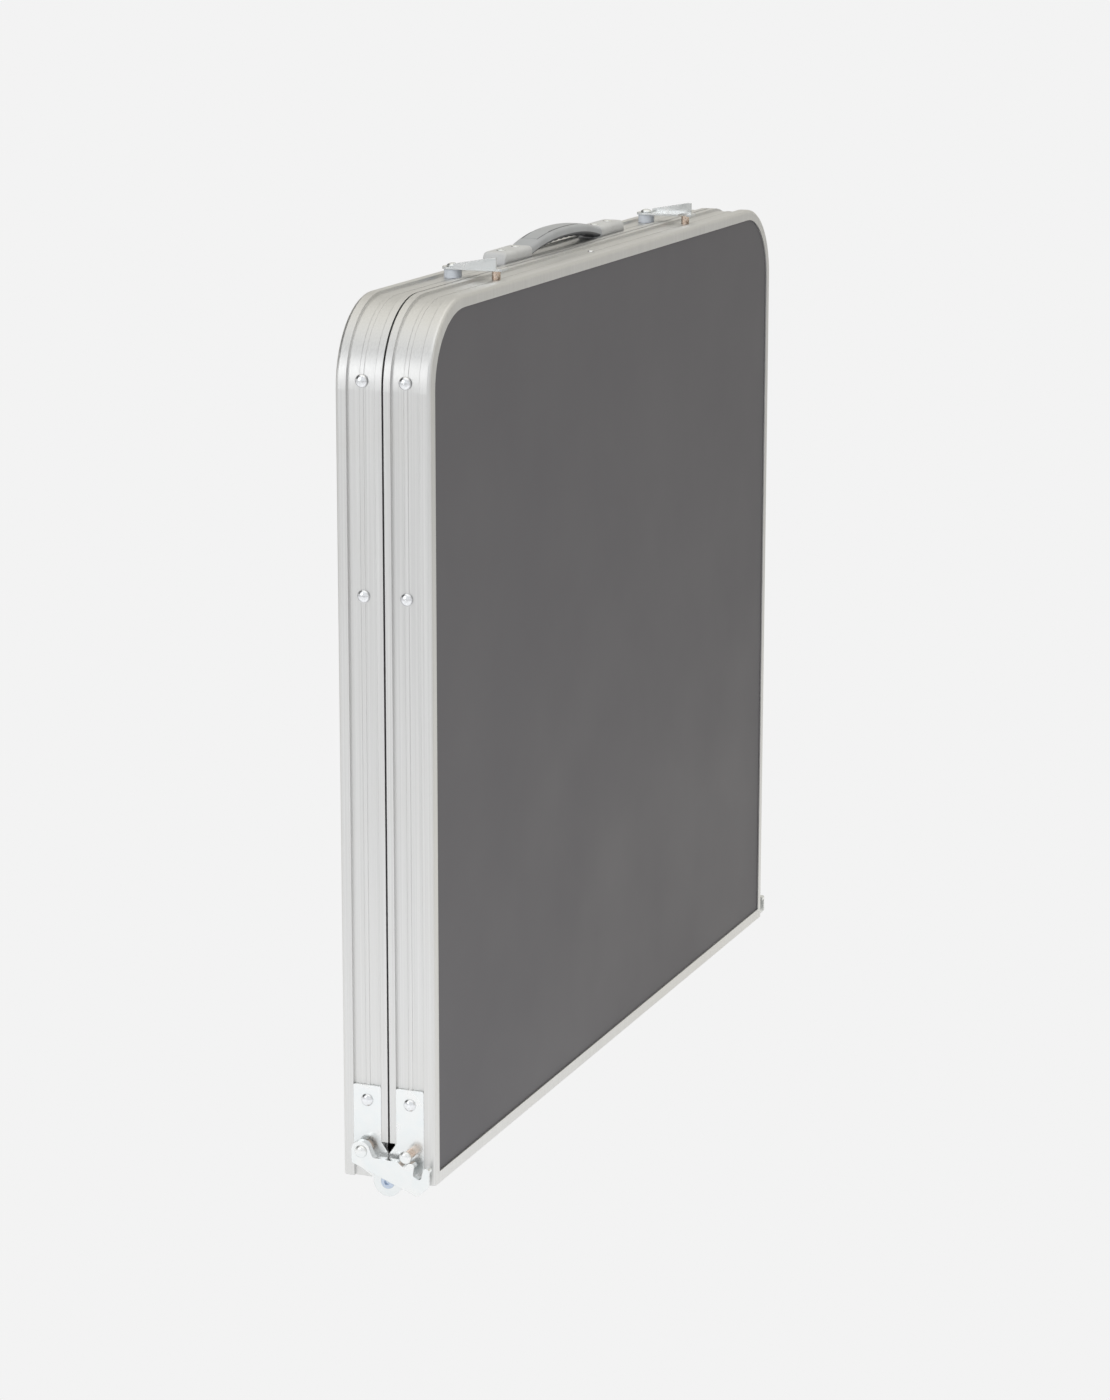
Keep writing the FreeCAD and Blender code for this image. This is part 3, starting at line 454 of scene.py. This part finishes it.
def lathe(name, profile, centre, slot, body, count=48):
    """Solid turned about the vertical through a centre; profile is (radius, z)."""
    rings = []
    for radius, z in profile:
        ring = []
        for index in range(count):
            angle = 2 * math.pi * index / count
            x, y = radius * math.cos(angle), radius * math.sin(angle)
            ring.append((centre[0] + x, centre[1] + y, centre[2] + z))
        rings.append(ring)
    return loft(name, rings, slot, body)


OUTER_SCREW_INSET, INNER_SCREW_INSET = 3.5 * MM, 9 * MM


def handle_screws():
    """Two sunk-headed screws in each end block, in the place of the plain heads."""
    low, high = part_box("handle_screws")
    dish = [(3.4, -0.9), (3.4, 0.1), (3.1, 0.35), (2.2, 0.4), (1.4, 0.05), (0.9, -0.5), (0.2, -0.6)]
    profile = [(r * MM, z * MM) for r, z in dish]
    places = (high.x - OUTER_SCREW_INSET, BLOCK_LOW.x + INNER_SCREW_INSET)
    for side in (-1, 1):
        for number, x in enumerate(places):
            name = "block_screw_%s%d" % ("r" if side > 0 else "l", number)
            lathe(name, profile, (side * x, HANDLE_Y, low.z), "zinc_steel", "rear_tray")
    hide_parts("handle_screws")


# --------------------------------------------------------------------- studio

def floor():
    """Floor that only lights the object: brightest close by, dimmer and warmer to +X."""
    mesh = bpy.data.meshes.new("studio_floor")
    form = bmesh.new()
    bmesh.ops.create_grid(form, x_segments=4, y_segments=4, size=30.0)
    form.to_mesh(mesh)
    form.free()
    piece = bpy.data.objects.new("studio_floor", mesh)
    bpy.context.collection.objects.link(piece)
    shader = Shader("floor_paint", (0.15, 0.15, 0.15), 1.0)
    shader.surface.inputs["Specular IOR Level"].default_value = 0.0
    place = shader.node("ShaderNodeNewGeometry")
    split = shader.node("ShaderNodeSeparateXYZ")
    away = shader.node("ShaderNodeVectorMath", operation="LENGTH")
    shader.link(place.outputs["Position"], split.inputs["Vector"])
    shader.link(place.outputs["Position"], away.inputs[0])
    near = shader.ramp(away.outputs["Value"], 1.06, 0.55, 0.5, 2.9)
    side = shader.ramp(split.outputs["X"], 1.02, 0.78, -0.7, 0.1)
    warmth = shader.ramp(split.outputs["X"], 0.0, 1.0, -0.5, 0.2)
    warm = shader.mix_colors(warmth, (0.985, 0.99, 1.0), (1.0, 0.985, 0.94))
    strength = shader.node("ShaderNodeMath", operation="MULTIPLY")
    shader.link(near, strength.inputs[0])
    shader.link(side, strength.inputs[1])
    shader.link(strength.outputs["Value"], shader.surface.inputs["Emission Strength"])
    shader.link(warm, shader.surface.inputs["Emission Color"])
    mesh.materials.append(shader.material)
    piece.visible_camera = False


def area_light(name, place, target, width, height, power):
    data = bpy.data.lights.new(name, "AREA")
    data.shape = "RECTANGLE"
    data.size, data.size_y = width, height
    data.energy = power
    lamp = bpy.data.objects.new(name, data)
    lamp.location = place
    lamp.rotation_euler = (Vector(target) - Vector(place)).to_track_quat("-Z", "Y").to_euler()
    bpy.context.collection.objects.link(lamp)


BACKDROP = 0.896


def studio():
    """Light that grows overhead, dims and warms to +X and is flagged off to +Y.

    The camera sees a plain backdrop in its place.
    """
    world = bpy.data.worlds.new("studio")
    world.use_nodes = True
    tree = world.node_tree
    tree.nodes.clear()
    link = tree.links.new
    place = tree.nodes.new("ShaderNodeTexCoord")
    split = tree.nodes.new("ShaderNodeSeparateXYZ")
    link(place.outputs["Generated"], split.inputs["Vector"])
    east, north, up = (split.outputs[letter] for letter in "XYZ")

    ceiling = mapped(tree, up, 0.6, 0.9, 0.86, 1.45)
    side = mapped(tree, east, -0.9, 0.2, 1.08, 0.78)
    beyond = mapped(tree, north, 0.5, 0.62, 0.0, 0.9)
    above = mapped(tree, up, 0.12, 0.2, 0.0, 1.0)
    flag = worked(tree, "MULTIPLY", beyond, above)
    unflagged = worked(tree, "SUBTRACT", 1.0, flag)
    glow = worked(tree, "MULTIPLY", worked(tree, "MULTIPLY", ceiling, side), unflagged)

    tint = tree.nodes.new("ShaderNodeMix")
    tint.data_type = "RGBA"
    tint.inputs["A"].default_value = (0.975, 0.99, 1.0, 1)
    tint.inputs["B"].default_value = (1.0, 0.975, 0.90, 1)
    link(mapped(tree, east, -0.7, 0.1, 0.0, 1.0), tint.inputs["Factor"])

    lit = tree.nodes.new("ShaderNodeBackground")
    link(glow, lit.inputs["Strength"])
    link(tint.outputs["Result"], lit.inputs["Color"])
    seen = tree.nodes.new("ShaderNodeBackground")
    seen.inputs["Color"].default_value = (BACKDROP, BACKDROP, BACKDROP, 1)
    rays = tree.nodes.new("ShaderNodeLightPath")
    choose = tree.nodes.new("ShaderNodeMixShader")
    output = tree.nodes.new("ShaderNodeOutputWorld")
    link(rays.outputs["Is Camera Ray"], choose.inputs["Fac"])
    link(lit.outputs["Background"], choose.inputs[1])
    link(seen.outputs["Background"], choose.inputs[2])
    link(choose.outputs["Shader"], output.inputs["Surface"])
    bpy.context.scene.world = world
    floor()
    area_light("left_softbox", (-2.6, 1.6, 1.3), (0, 0, 0.3), 1.4, 1.4, 9)


CAMERA_LENS = 98.42
CAMERA_PLACE = (-2.6062, -1.0037, 0.9229)
CAMERA_TURN, CAMERA_TILT, CAMERA_ROLL = -68.63, 90.0 - 13.14, 0.07


def camera():
    """Looks at the -X end of the case from its front, and a little down."""
    data = bpy.data.cameras.new("view")
    data.lens, data.sensor_width = CAMERA_LENS, 36.0
    data.clip_start, data.clip_end = 0.05, 60.0
    item = bpy.data.objects.new("view", data)
    stance = Matrix.Translation(CAMERA_PLACE)
    for angle, axis in ((CAMERA_TURN, "Z"), (CAMERA_TILT, "X"), (CAMERA_ROLL, "Z")):
        stance = stance @ Matrix.Rotation(math.radians(angle), 4, axis)
    item.matrix_world = stance
    bpy.context.collection.objects.link(item)
    bpy.context.scene.camera = item


dress_frame()
plate_heads()
handle_grip()
handle_block(1)
handle_block(-1)
handle_screws()
studio()
camera()
bpy.context.scene.view_settings.view_transform = "Standard"
